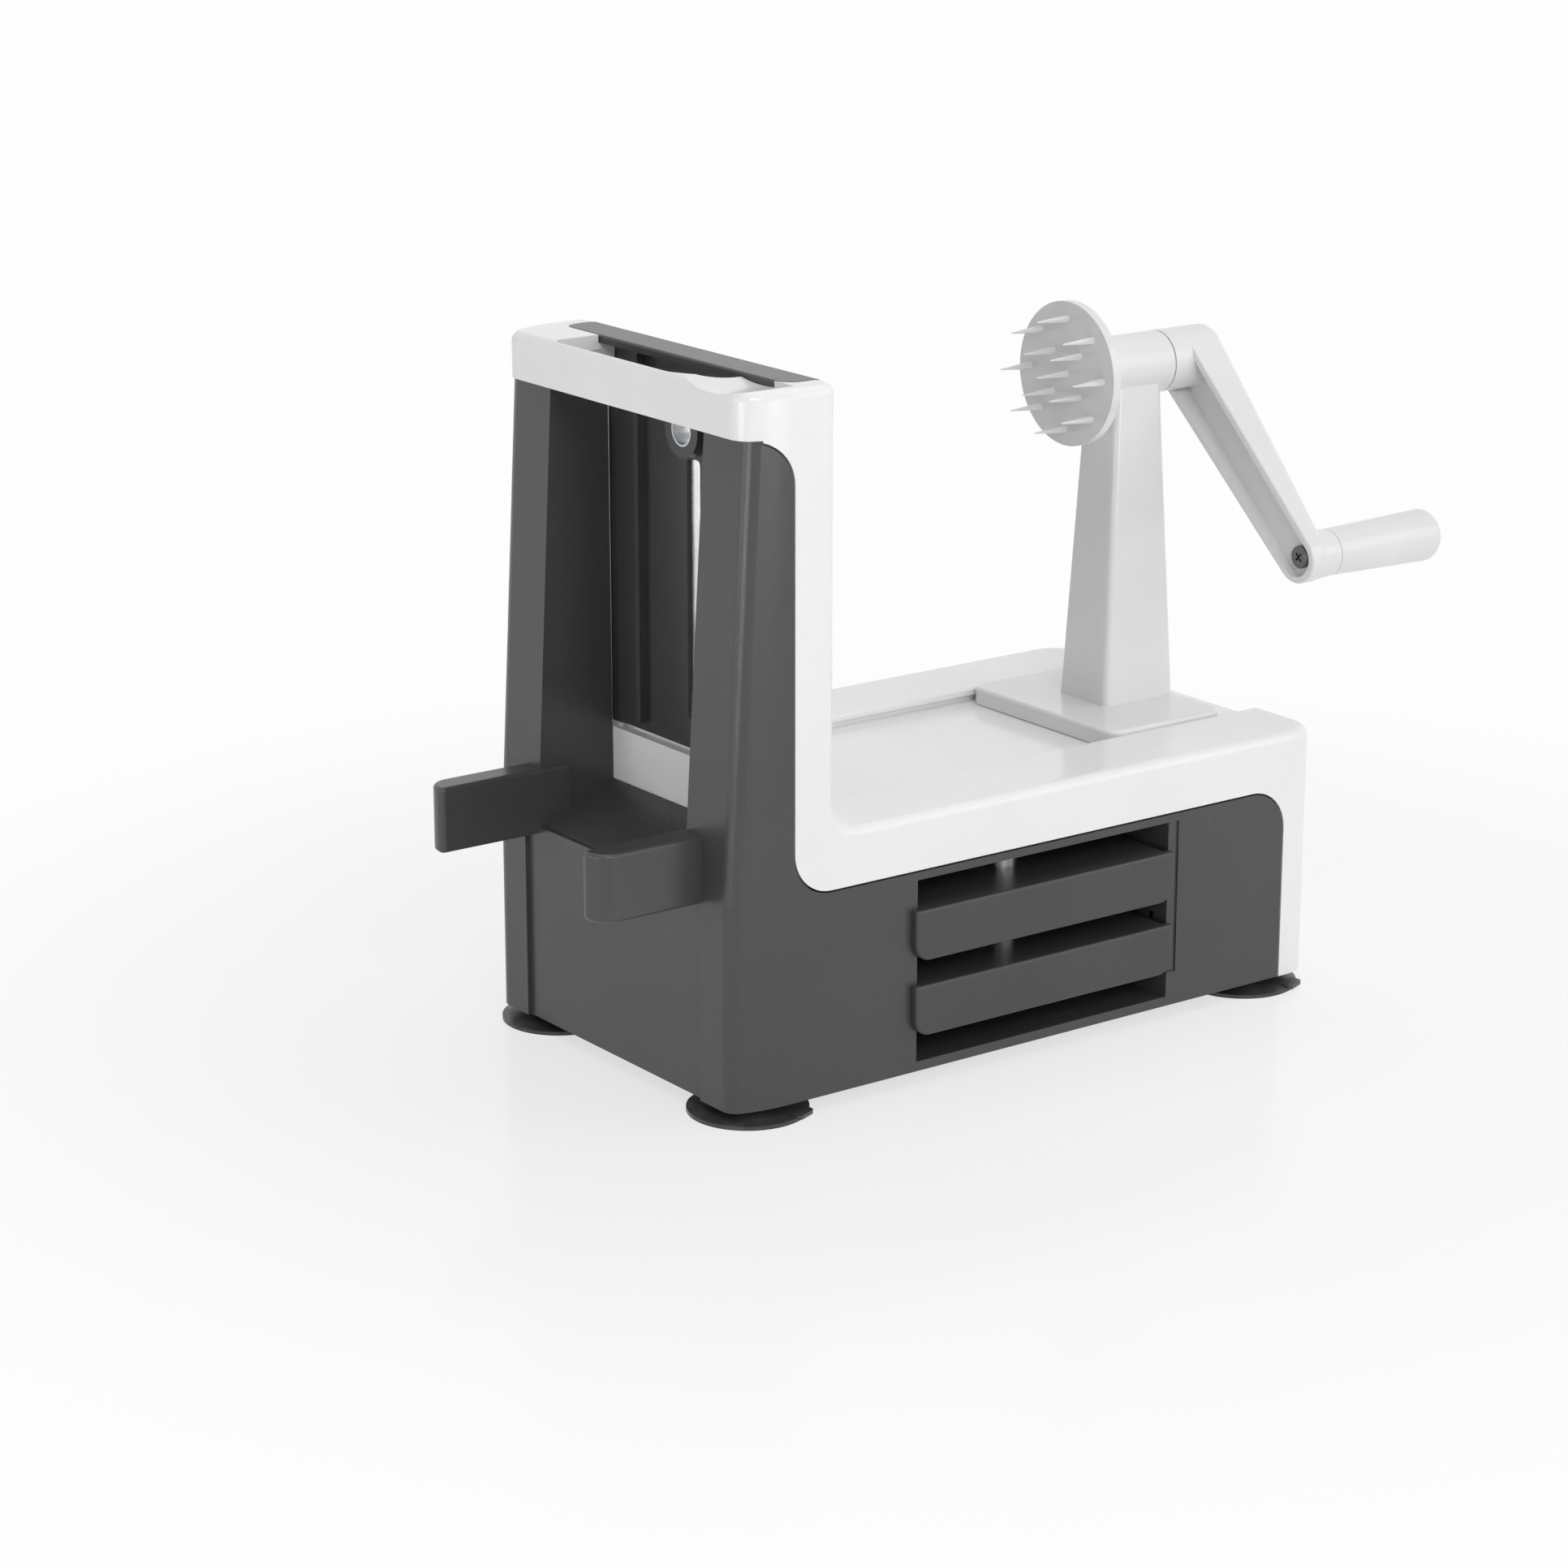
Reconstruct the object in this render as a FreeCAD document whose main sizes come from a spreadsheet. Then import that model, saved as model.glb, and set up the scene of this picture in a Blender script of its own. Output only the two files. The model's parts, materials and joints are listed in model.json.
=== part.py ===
import FreeCAD, Part
import math
import os
import Sketcher
from types import SimpleNamespace
from FreeCAD import Placement, Rotation, Vector

# Hand-cranked spiralizer.
# Base coordinates: X runs from the outlet end (0) to the crank end, Y is 0 on the middle plane,
# Z is 0 on the underside of the housing.  The row's own origin lies under the middle of the whole
# machine on the bench, so each sub-part's Placement moves it by the origin setback and foot height.

SIZES = {
    # whole machine
    "origin_setback": 161.05,
    "foot_height": 6.0,
    "base_length": 300.0,
    "base_width": 170.0,
    "wall": 2.5,
    "skin": 3.0,
    "seam_gap": 0.8,
    "fit_gap": 0.3,
    "slide_gap": 0.4,
    "corner_inside": 16.0,
    "corner_crank": 15.0,
    # portal and deck levels
    "shoulder_level": 83.0,
    "deck_level": 106.0,
    "sill_level": 118.8,
    "insert_rest": 1.3,
    "band_height": 18.5,
    "axis_drop": 30.5,
    "portal_depth": 47.0,
    "band_start": 7.0,
    "column_strip": 28.0,
    "column_depth": 36.5,
    "column_lean": 9.8,
    "opening_width": 104.0,
    "opening_taper": 2.0,
    "panel_radius": 17.0,
    "inner_radius": 11.0,
    "rim_radius": 3.0,
    "edge_radius": 4.0,
    "leg_width": 10.0,
    "leg_strip": 20.0,
    "chute_level": 97.0,
    # blend of the outlet end's upright corners: how long, how deep, and its two radii
    "corner_run": 15.0,
    "corner_fall": 4.2,
    "corner_radius": 6.5,
    "corner_sweep": 73.0,
    "band_fall": 6.5,
    "band_radius": 9.0,
    "band_sweep": 49.0,
    # finger opening and scoop in the band
    "finger_start": 9.7,
    "finger_low": -47.0,
    "finger_high": 49.0,
    "finger_radius": 20.0,
    "scoop_middle": -60.0,
    "scoop_width": 48.0,
    "scoop_depth": 2.6,
    # lower wall under the outlet
    "outlet_recess": 1.8,
    "outlet_recess_width": 122.0,
    # arms beside the outlet
    "arm_reach": 46.0,
    "arm_thickness": 12.0,
    "arm_inset": 23.0,
    "arm_bottom": 80.0,
    "arm_height": 27.0,
    "arm_radius": 9.0,
    # slide channel in the deck
    "channel_width": 94.0,
    "channel_depth": 5.6,
    "channel_round": 1.2,
    "groove_depth": 2.4,
    "groove_height": 2.8,
    # storage bay
    "bay_left": 87.0,
    "bay_width": 130.0,
    "bay_floor": 4.0,
    "bay_top": 79.0,
    "bay_ledge": 5.5,
    "bay_recess": 4.8,
    "port_inset": 9.0,
    "port_width": 4.4,
    "port_level": 35.2,
    "port_height": 3.2,
    # bottom plate
    "plate_thickness": 2.0,
    "boss_diameter": 8.0,
    "screw_inset": 46.0,
    "screw_end_inset": 50.0,
    "screw_spread": 40.0,
    "screw_shank": 3.0,
    "screw_head": 6.0,
    "screw_head_height": 1.6,
    "screw_length": 12.0,
    "slot_length": 3.2,
    "slot_width": 0.7,
    "slot_depth": 1.1,
    # suction feet
    "foot_diameter": 48.0,
    "foot_lip": 1.6,
    "foot_stem": 9.0,
    "foot_shoulder": 15.0,
    "foot_hollow": 2.4,
    "foot_waist": 1.4,
    "tab_beside": 6.0,
    "tab_inset": 5.0,
    "tab_width": 10.0,
    "tab_length": 5.6,
    "tab_slope": 4.0,
    "tab_round": 2.0,
    "foot_inset": 19.0,
    "foot_end_inset": 25.0,
    # blade inserts
    "insert_width": 126.0,
    "insert_setback": 10.6,
    "rib_spread": 32.0,
    "rib_height": 4.5,
    "insert_plate": 3.0,
    "lip_width": 132.6,
    "lip_height": 21.0,
    "lip_thickness": 3.2,
    "lip_radius": 7.0,
    "mounted_lip_width": 150.0,
    "mounted_lip_start": 31.0,
    "mounted_lip_end": 46.5,
    "insert_plane": 43.6,
    "upper_insert": 67.4,
    "lower_insert": 36.4,
    "throat_width": 9.0,
    "throat_start": 12.0,
    "throat_end": 11.9,
    "blade_thickness": 0.8,
    "blade_width": 16.5,
    "blade_stand": 2.2,
    "blade_offset": 4.0,
    "blade_rise": 8.5,
    "stake_diameter": 2.8,
    "stake_inset": 12.0,
    "stake_side": 3.0,
    "comb_margin": 3.0,
    "tooth_slope": 1.5,
    "core_diameter": 13.0,
    "core_wall": 0.8,
    "core_height": 7.0,
    "hub_diameter": 22.0,
    "hub_height": 5.0,
    "tooth_height": 5.0,
    "tooth_width": 4.0,
    "tooth_thickness": 0.8,
    "fine_pitch": 4.0,
    "coarse_pitch": 8.0,
    # carriage
    "slider_setback": 20.0,
    "slider_length": 62.5,
    "slider_thickness": 7.2,
    "slider_radius": 7.0,
    "slider_round": 1.5,
    "tongue_inset": 2.0,
    "post_setback": 20.0,
    "post_foot_length": 38.0,
    "post_foot_width": 31.0,
    "post_top_length": 24.0,
    "post_top_width": 22.0,
    "post_edge": 3.0,
    "head_diameter": 26.0,
    "head_back": 15.0,
    "head_front": 17.4,
    "hub_seam": 0.7,
    # crank
    "crank_stand": 27.3,
    "crank_length": 103.0,
    "crank_angle": 45.0,
    "crank_depth": 19.1,
    "crank_rise": 5.0,
    "crank_end_depth": 10.5,
    "crank_end_diameter": 21.6,
    "crank_wall": 3.0,
    "crank_round": 4.5,
    "crank_web": 6.0,
    "crank_boss": 7.0,
    "crank_screw_sink": 2.2,
    "crank_screw_head": 2.0,
    "crank_screw_length": 9.0,
    "cross_reach": 2.2,
    "cross_width": 0.9,
    "shaft_diameter": 8.0,
    "bush_diameter": 12.0,
    "bush_flange": 16.0,
    "bush_flange_thickness": 1.5,
    "running_gap": 0.05,
    "holder_diameter": 60.0,
    "holder_thickness": 4.0,
    "holder_back": 10.0,
    "holder_gap": 0.5,
    "collar_wall": 5.0,
    "collar_flare": 1.5,
    "spike_length": 16.0,
    "spike_root": 3.6,
    "spike_ring": 46.0,
    "spike_inner_ring": 24.0,
    "grip_diameter": 19.6,
    "grip_end_diameter": 22.4,
    "grip_length": 58.0,
    "grip_radius": 5.0,
    "axle_diameter": 6.0,
    "axle_head": 9.5,
    "axle_head_height": 2.4,
    "head_round": 0.8,
    "clip_inset": 4.0,
    "clip_thickness": 1.0,
    "clip_slack": 0.2,
    "clip_depth": 0.6,
    "clip_reach": 1.2,
}

# --- the sheet, and sizes that know the expression they come from ---------------------------------

document = FreeCAD.newDocument("Spiralizer")
sheet = document.addObject("Spreadsheet::Sheet", "Sizes")
for row, (alias, number) in enumerate(SIZES.items(), 1):
    sheet.set(f"A{row}", alias)
    sheet.set(f"B{row}", str(number))
    sheet.setAlias(f"B{row}", alias)
document.recompute()


class Length:
    """A number together with the sheet expression that yields it."""

    def __init__(self, value, text):
        self.value = value
        self.text = text

    def __add__(self, other):
        other = as_length(other)
        return Length(self.value + other.value, f"({self.text} + {other.text})")

    def __sub__(self, other):
        other = as_length(other)
        return Length(self.value - other.value, f"({self.text} - {other.text})")

    def __mul__(self, other):
        other = as_length(other)
        return Length(self.value * other.value, f"({self.text} * {other.text})")

    def __truediv__(self, other):
        other = as_length(other)
        return Length(self.value / other.value, f"({self.text} / {other.text})")

    def __radd__(self, other):
        return as_length(other) + self

    def __rsub__(self, other):
        return as_length(other) - self

    def __rmul__(self, other):
        return as_length(other) * self

    def __neg__(self):
        return Length(-self.value, f"(-{self.text})")


def as_length(number):
    if isinstance(number, Length):
        return number
    return Length(float(number), f"({float(number)})")


d = SimpleNamespace(**{name: Length(float(sheet.get(name)), f"Sizes.{name}") for name in SIZES})

# --- sketches and features ------------------------------------------------------------------------

sub_parts = []


def new_body(name, x=0, y=0, z=0, axis=None, angle=0):
    """A body at a place in base coordinates, turned about an axis through that place."""
    body = document.addObject("PartDesign::Body", name)
    body.Label = name
    places = (as_length(x) - d.origin_setback, as_length(y), as_length(z) + d.foot_height)
    rotation = Rotation(axis or Vector(0, 0, 1), as_length(angle).value)
    body.Placement = Placement(Vector(*(place.value for place in places)), rotation)
    for letter, place in zip("xyz", places):
        body.setExpression(f"Placement.Base.{letter}", place.text)
    if axis:
        body.setExpression("Placement.Rotation.Angle", as_length(angle).text)
    sub_parts.append(body)
    return body


def new_sketch(body, plane, at=0, across=0, up=0):
    """A sketch parallel to an origin plane, at a coordinate along that plane's axis."""
    sketch = body.newObject("Sketcher::SketchObject", "Sketch")
    origin_planes = body.Origin.OriginFeatures
    support = next(item for item in origin_planes if item.Role == f"{plane}_Plane")
    sketch.AttachmentSupport = [(support, "")]
    sketch.MapMode = "FlatFace"
    along = as_length(at) * (-1 if plane == "XZ" else 1)
    shift = (as_length(across), as_length(up), along)
    sketch.AttachmentOffset = Placement(Vector(*(part.value for part in shift)), Rotation())
    for letter, part in zip("xyz", shift):
        sketch.setExpression(f"AttachmentOffset.Base.{letter}", part.text)
    return sketch


def fix_point(sketch, geometry, which, u, v):
    """Tie a point of the sketch to its place from the sketch's origin."""
    for kind, place in (("DistanceX", as_length(u)), ("DistanceY", as_length(v))):
        index = sketch.addConstraint(Sketcher.Constraint(kind, -1, 1, geometry, which, place.value))
        sketch.setExpression(f"Constraints[{index}]", place.text)


def fix_radius(sketch, geometry, radius):
    index = sketch.addConstraint(Sketcher.Constraint("Radius", geometry, radius.value))
    sketch.setExpression(f"Constraints[{index}]", radius.text)


def draw_circle(sketch, u, v, radius):
    centre = Vector(as_length(u).value, as_length(v).value, 0)
    circle = sketch.addGeometry(Part.Circle(centre, Vector(0, 0, 1), as_length(radius).value))
    fix_point(sketch, circle, 3, u, v)
    fix_radius(sketch, circle, as_length(radius))


def root(length):
    return Length(math.sqrt(length.value), f"sqrt({length.text})")


def direction(start, end):
    """Unit vector between two points; its parts are plain numbers where it is parallel to an axis."""
    across = end[0] - start[0]
    up = end[1] - start[1]
    if abs(up.value) < 1e-9:
        return as_length(math.copysign(1, across.value)), as_length(0)
    if abs(across.value) < 1e-9:
        return as_length(0), as_length(math.copysign(1, up.value))
    span = root(across * across + up * up)
    return across / span, up / span


def rounding(before, corner, after, radius):
    """Where a tangent arc of a radius starts and ends, on the two sides of a corner."""
    back = direction(corner, before)
    ahead = direction(corner, after)
    dot = back[0] * ahead[0] + back[1] * ahead[1]
    cross = back[0] * ahead[1] - back[1] * ahead[0]
    setback = radius
    if abs(dot.value) > 1e-9:
        setback = radius * (1 + dot) / cross * math.copysign(1, cross.value)
    return tuple(
        (corner[0] + side[0] * setback, corner[1] + side[1] * setback) for side in (back, ahead))


def as_vector(point):
    return Vector(point[0].value, point[1].value, 0)


def draw_outline(sketch, corners):
    """A closed outline: corners are (u, v), or (u, v, radius) where a tangent arc rounds them."""
    points = [(as_length(corner[0]), as_length(corner[1])) for corner in corners]
    count = len(corners)
    ends = []
    for index, corner in enumerate(corners):
        if len(corner) < 3:
            ends.append((points[index], points[index]))
            continue
        after = points[(index + 1) % count]
        ends.append(rounding(points[index - 1], points[index], after, as_length(corner[2])))
    lines = []
    for index in range(count):
        start = as_vector(ends[index][1])
        end = as_vector(ends[(index + 1) % count][0])
        lines.append(sketch.addGeometry(Part.LineSegment(start, end)))
    for index, corner in enumerate(corners):
        line_in = lines[index - 1]
        line_out = lines[index]
        fix_point(sketch, line_out, 1, *ends[index][1])
        if len(corner) < 3:
            sketch.addConstraint(Sketcher.Constraint("Coincident", line_in, 2, line_out, 1))
            continue
        fix_point(sketch, line_in, 2, *ends[index][0])
        start = as_vector(ends[index][0])
        end = as_vector(ends[index][1])
        radius = as_length(corner[2])
        chord = end - start
        towards = (as_vector(points[index]) - (start + end) / 2).normalize()
        depth = math.sqrt(radius.value ** 2 - chord.Length ** 2 / 4)
        centre = (start + end) / 2 - towards * depth
        # a sketch numbers an arc's ends counter-clockwise
        entry = 1 if chord.cross(towards).z < 0 else 2
        first, last = ((start, end) if entry == 1 else (end, start))
        low = math.atan2(first.y - centre.y, first.x - centre.x)
        high = math.atan2(last.y - centre.y, last.x - centre.x)
        if high < low:
            high += 2 * math.pi
        circle = Part.Circle(centre, Vector(0, 0, 1), radius.value)
        arc = sketch.addGeometry(Part.ArcOfCircle(circle, low, high))
        sketch.addConstraint(Sketcher.Constraint("Coincident", line_in, 2, arc, entry))
        sketch.addConstraint(Sketcher.Constraint("Coincident", arc, 3 - entry, line_out, 1))
        fix_radius(sketch, arc, radius)


def draw_teardrop(sketch, far, near_radius, far_radius):
    """The outline round two circles, one at the sketch's origin and one at a distance along u."""
    spread = math.acos((near_radius.value - far_radius.value) / far.value)
    normal = Vector(0, 0, 1)
    near_circle = Part.Circle(Vector(0, 0, 0), normal, near_radius.value)
    far_circle = Part.Circle(Vector(far.value, 0, 0), normal, far_radius.value)
    near_arc = sketch.addGeometry(Part.ArcOfCircle(near_circle, spread, 2 * math.pi - spread))
    far_arc = sketch.addGeometry(Part.ArcOfCircle(far_circle, -spread, spread))
    near_curve = sketch.Geometry[near_arc]
    far_curve = sketch.Geometry[far_arc]
    upper = sketch.addGeometry(Part.LineSegment(far_curve.EndPoint, near_curve.StartPoint))
    lower = sketch.addGeometry(Part.LineSegment(near_curve.EndPoint, far_curve.StartPoint))
    for first, first_end, second, second_end in (
        (upper, 2, near_arc, 1),
        (near_arc, 2, lower, 1),
        (lower, 2, far_arc, 1),
        (far_arc, 2, upper, 1),
    ):
        sketch.addConstraint(Sketcher.Constraint("Coincident", first, first_end, second, second_end))
    lean = (near_radius - far_radius) / far
    for arc, place, radius in ((near_arc, as_length(0), near_radius), (far_arc, far, far_radius)):
        fix_point(sketch, arc, 3, place, 0)
        fix_radius(sketch, arc, radius)
        touch = place + radius * lean
        for end in (1, 2):
            index = sketch.addConstraint(
                Sketcher.Constraint("DistanceX", -1, 1, arc, end, touch.value))
            sketch.setExpression(f"Constraints[{index}]", touch.text)


def rectangle(left, right, bottom, top, radius=None):
    corners = [(left, bottom), (right, bottom), (right, top), (left, top)]
    if radius is None:
        return corners
    return [corner + (radius,) for corner in corners]


def extrude(body, kind, plane, start, length, outlines=(), circles=(), across=0, up=0):
    """Pad or pocket from a plane at start, always towards the positive side of its axis."""
    sketch = new_sketch(body, plane, start, across, up)
    for corners in outlines:
        draw_outline(sketch, corners)
    for circle in circles:
        draw_circle(sketch, *circle)
    return extrude_sketch(body, kind, plane, sketch, length)


def extrude_sketch(body, kind, plane, sketch, length):
    feature = body.newObject(f"PartDesign::{kind}", kind)
    feature.Profile = sketch
    feature.Reversed = (plane == "XZ") == (kind == "Pad")
    feature.setExpression("Length", as_length(length).text)
    return feature


def revolve(body, plane, corners, axis="H_Axis", at=0, across=0, up=0, kind="Revolution"):
    """Turn an outline about its sketch's own horizontal or vertical axis."""
    sketch = new_sketch(body, plane, at, across, up)
    draw_outline(sketch, corners)
    feature = body.newObject(f"PartDesign::{kind}", kind)
    feature.Profile = sketch
    feature.ReferenceAxis = (sketch, [axis])
    feature.Angle = 360
    return feature


def loft(body, sections, plane="XY", across=0, up=0):
    """Ruled loft through outlines on parallel planes: a list of (level, corners)."""
    sketches = []
    for level, corners in sections:
        sketch = new_sketch(body, plane, level, across, up)
        draw_outline(sketch, corners)
        sketches.append(sketch)
    feature = body.newObject("PartDesign::AdditiveLoft", "AdditiveLoft")
    feature.Profile = sketches[0]
    feature.Sections = sketches[1:]
    feature.Ruled = True
    return feature


def edge_names(shape, wanted):
    return [f"Edge{number}" for number, edge in enumerate(shape.Edges, 1) if wanted(edge)]


def soften(body, size, wanted, kind="Fillet"):
    """Fillet or chamfer the edges of the body's tip that pass the test."""
    document.recompute()
    base = body.Tip
    names = edge_names(base.Shape, wanted)
    if not names:
        raise RuntimeError(f"{body.Label}: no edge to soften")
    feature = body.newObject(f"PartDesign::{kind}", kind)
    feature.Base = (base, names)
    feature.setExpression("Radius" if kind == "Fillet" else "Size", as_length(size).text)
    return feature


def box_of(edge):
    box = edge.BoundBox
    return (box.XMin, box.XMax), (box.YMin, box.YMax), (box.ZMin, box.ZMax)


def near(value, target, slack=0.05):
    return abs(value - as_length(target).value) < slack


def runs_along(edge, letter):
    """True for a straight edge parallel to X, Y or Z."""
    spans = dict(zip("xyz", (high - low for low, high in box_of(edge))))
    others = [span for name, span in spans.items() if name != letter]
    return spans[letter] > 0.5 and max(others) < 1e-4


def on_plane(edge, letter, target):
    """True for an edge that lies wholly at one X, Y or Z."""
    low, high = box_of(edge)["xyz".index(letter)]
    return near(low, target) and near(high, target)


def beside(edge, letter, low, high):
    """True for an edge whose middle along X, Y or Z is between two limits."""
    first, last = box_of(edge)["xyz".index(letter)]
    return as_length(low).value < (first + last) / 2 < as_length(high).value


# --- places that several pieces share -------------------------------------------------------------

half_width = d.base_width / 2
housing_end = d.base_length - d.leg_width - d.seam_gap
strip_start = d.base_length - d.leg_strip
rabbet = d.skin + d.fit_gap
cavity_half = half_width - rabbet - d.wall
floor_level = d.deck_level - d.channel_depth
half_channel = d.channel_width / 2
opening_low = (d.opening_width - d.opening_taper) / 2
opening_high = d.opening_width / 2
bay_right = d.bay_left + d.bay_width
# an insert is as long as the bay is deep, and the portal as high as an insert is long
insert_length = d.base_width - d.insert_setback
portal_level = d.sill_level + d.insert_rest + insert_length
band_level = portal_level - d.band_height
axis_level = portal_level - d.axis_drop
spare_middle = d.bay_left + d.slide_gap + d.insert_width / 2
spare_front = -half_width - d.lip_thickness - d.slide_gap
throat_length = insert_length - d.axis_drop - d.throat_start - d.throat_end
slot_back = d.insert_plane - d.insert_plate - d.slide_gap
slot_front = d.insert_plane + d.slide_gap
slider_level = floor_level + d.fit_gap
slider_end = d.base_length - d.slider_setback
slider_start = slider_end - d.slider_length
post_centre = slider_end - d.post_setback
head_start = post_centre - d.head_back
head_end = post_centre + d.head_front
crank_start = post_centre + d.crank_stand
turned_down = d.crank_angle + 180
hub_start = head_end + d.hub_seam - crank_start
arm_back = d.crank_rise + d.crank_end_depth
axle_seat = arm_back - d.crank_web
grip_root = arm_back + d.crank_boss + d.fit_gap
axle_tip = grip_root + d.grip_length * 0.8
clip_start = axle_tip - d.clip_inset
clip_end = clip_start + d.clip_thickness + d.clip_slack * 2
FOOT_PLACES = {
    "near_outlet": (d.foot_inset, d.foot_inset - half_width),
    "far_outlet": (d.foot_inset, half_width - d.foot_inset),
    "near_crank": (d.base_length - d.foot_end_inset, d.foot_inset - half_width),
    "far_crank": (d.base_length - d.foot_end_inset, half_width - d.foot_inset),
}
SCREW_PLACES = {
    "near_outlet": (d.screw_inset, -d.screw_spread),
    "far_outlet": (d.screw_inset, d.screw_spread),
    "near_crank": (d.base_length - d.screw_end_inset, -d.screw_spread),
    "far_crank": (d.base_length - d.screw_end_inset, d.screw_spread),
}

# --- base: housing, cover, bottom plate, screws and feet ------------------------------------------


def outlet_corners(x, fall, radius, sweep):
    """The near and far corners of a plan whose outlet end is blended into its long sides."""
    near_side = [(x, fall - half_width, radius), (x + d.corner_run, -half_width, sweep)]
    far_side = [(x + d.corner_run, half_width, sweep), (x, half_width - fall, radius)]
    return near_side, far_side


def seam_outline():
    """What the white cover and the seam round it take from the housing's outer skin."""
    line_x = d.column_strip - d.seam_gap
    line_z = d.shoulder_level - d.seam_gap
    top_z = band_level - d.seam_gap
    past = d.leg_strip
    return [
        (-past, top_z),
        (line_x, top_z, d.panel_radius),
        (line_x, line_z, d.panel_radius + d.seam_gap),
        (strip_start - d.seam_gap, line_z, d.panel_radius),
        (strip_start - d.seam_gap, -past),
        (d.base_length + past, -past),
        (d.base_length + past, portal_level + past),
        (-past, portal_level + past),
    ]


def make_base_housing():
    body = new_body("base_housing")
    near_side, far_side = outlet_corners(0, d.corner_fall, d.corner_radius, d.corner_sweep)
    extrude(body, "Pad", "XY", 0, d.shoulder_level, [near_side + [
        (d.base_length, -half_width, d.corner_crank),
        (d.base_length, half_width, d.corner_crank)] + far_side])
    extrude(body, "Pocket", "XY", -1, d.shoulder_level + 2, [
        rectangle(housing_end, d.base_length + 1, -half_width - 1, half_width + 1)])
    # the arms on both sides of the outlet
    for side in (-1, 1):
        outer = (half_width - d.arm_inset) * side
        inner = (half_width - d.arm_inset - d.arm_thickness) * side
        extrude(body, "Pad", "XY", d.arm_bottom, d.arm_height, [[
            (-d.arm_reach, outer, d.arm_radius),
            (d.corner_run, outer),
            (d.corner_run, inner),
            (-d.arm_reach, inner, d.arm_radius / 4)]])
    arm_ends = (d.arm_bottom, d.arm_bottom + d.arm_height)
    soften(body, d.arm_radius / 6, lambda edge: any(on_plane(edge, "z", level) for level in arm_ends))
    # two leaning columns, then the chute floor between them
    for side in (0, 1):
        sections = []
        for level, lean, inner in (
            (d.shoulder_level, as_length(0), opening_low),
            (band_level, d.column_lean, opening_high),
        ):
            corners = outlet_corners(lean, d.corner_fall, d.corner_radius, d.corner_sweep)[side]
            if side == 1:
                corners.reverse()
            out = half_width * (2 * side - 1)
            inner = inner * (2 * side - 1)
            sections.append((level, corners + [
                (d.column_depth, out), (d.column_depth, inner), (lean, inner)]))
        loft(body, sections)
    extrude(body, "Pad", "XZ", -opening_high, d.opening_width, [[
        (d.outlet_recess, d.shoulder_level - 1),
        (d.column_depth, d.shoulder_level - 1),
        (d.column_depth, d.chute_level),
        (d.outlet_recess, d.shoulder_level + 1)]])
    # the corner between column and shoulder, in the skin only
    for start in (-half_width, half_width - rabbet):
        extrude(body, "Pad", "XZ", start, rabbet, [rectangle(
            d.column_strip - d.seam_gap * 3, d.column_strip + d.panel_radius * 2,
            d.shoulder_level - d.wall, d.shoulder_level + d.panel_radius * 2)])
    for start in (-half_width - 1, half_width - rabbet):
        extrude(body, "Pocket", "XZ", start, rabbet + 1, [seam_outline()])
    # recessed wall under the outlet
    extrude(body, "Pocket", "YZ", -1, d.outlet_recess + 1, [rectangle(
        -d.outlet_recess_width / 2, d.outlet_recess_width / 2, -1, d.arm_bottom)])
    # hollows: under the chute, up the columns, and at the crank end
    start_x = d.outlet_recess + d.wall
    inside = d.corner_inside
    ceiling = d.shoulder_level - d.wall
    extrude(body, "Pocket", "XY", -1, ceiling + 1, [
        [
            (start_x, -cavity_half, inside),
            (d.bay_left - d.wall, -cavity_half),
            (d.bay_left - d.wall, cavity_half),
            (start_x, cavity_half, inside),
        ],
        rectangle(bay_right + d.wall, housing_end - d.wall, -cavity_half, cavity_half),
    ])
    for side in (-1, 1):
        extrude(body, "Pocket", "XY", ceiling - 1, band_level - d.wall - ceiling + 1, [[
            (d.column_lean + d.wall, cavity_half * side, inside / 2),
            (d.column_depth - d.wall, cavity_half * side),
            (d.column_depth - d.wall, (opening_high + d.wall) * side),
            (d.column_lean + d.wall, (opening_high + d.wall) * side),
        ]])
    # storage bay with ledges for the two spare inserts
    bay_depth = half_width + cavity_half
    extrude(body, "Pocket", "XZ", -half_width - 1, bay_depth + 1, [
        rectangle(d.bay_left, bay_right, d.bay_floor, d.bay_top)])
    ledge_start = d.skin - half_width
    ledge_reach = d.bay_ledge - d.slide_gap
    plate_right = spare_middle + d.insert_width / 2
    for level in (d.upper_insert, d.lower_insert):
        top = level - d.insert_plate - d.fit_gap / 2
        for left, right in (
            (d.bay_left - d.wall / 2, d.bay_left + d.bay_ledge),
            (plate_right - ledge_reach, bay_right + d.wall / 2),
        ):
            extrude(body, "Pad", "XZ", ledge_start, cavity_half - ledge_start + d.wall / 2, [
                rectangle(left, right, top - d.wall, top)])
    # a shallow recess for the right ends of the lips, and a small port in the bay's right wall
    extrude(body, "Pocket", "XZ", -half_width - 1, d.seam_gap + 1, [rectangle(
        bay_right - 1, bay_right + d.bay_recess, d.lower_insert - d.lip_height - 1, d.bay_top)])
    port_start = d.port_inset - half_width
    extrude(body, "Pocket", "YZ", bay_right - 1, d.wall + 2, [rectangle(
        port_start, port_start + d.port_width, d.port_level, d.port_level + d.port_height)])
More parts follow.
